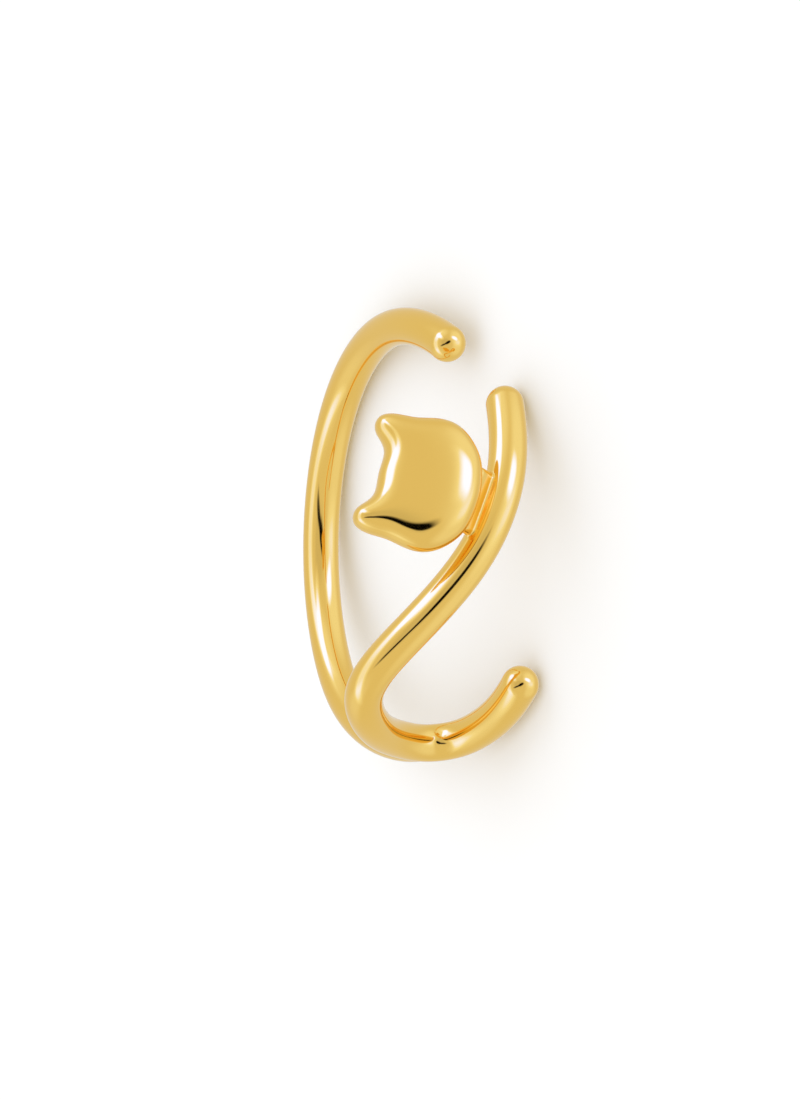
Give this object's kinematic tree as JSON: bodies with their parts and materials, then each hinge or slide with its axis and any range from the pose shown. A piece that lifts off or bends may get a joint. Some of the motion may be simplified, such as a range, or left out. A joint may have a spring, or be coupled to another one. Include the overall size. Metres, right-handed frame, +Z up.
{
  "type": "cat ring",
  "caption": "Open finger ring of round polished gold wire, with a crossing arm, a hook and a small puffed cat's head.",
  "frame": {"origin": "bottom centre of the ring's box, on the surface that it lies on", "axes": "+Z up from the surface, nearly along the finger; +X towards the front of the ring, with the cat's head; +Y round the ring from the hook to the arm's end"},
  "size_m": [0.0212, 0.0206, 0.0093],
  "materials": {
    "gold": "mirror-polished yellow gold plate"
  },
  "bodies": {
    "root": {"cat_ring": "gold"}
  },
  "joints": []
}
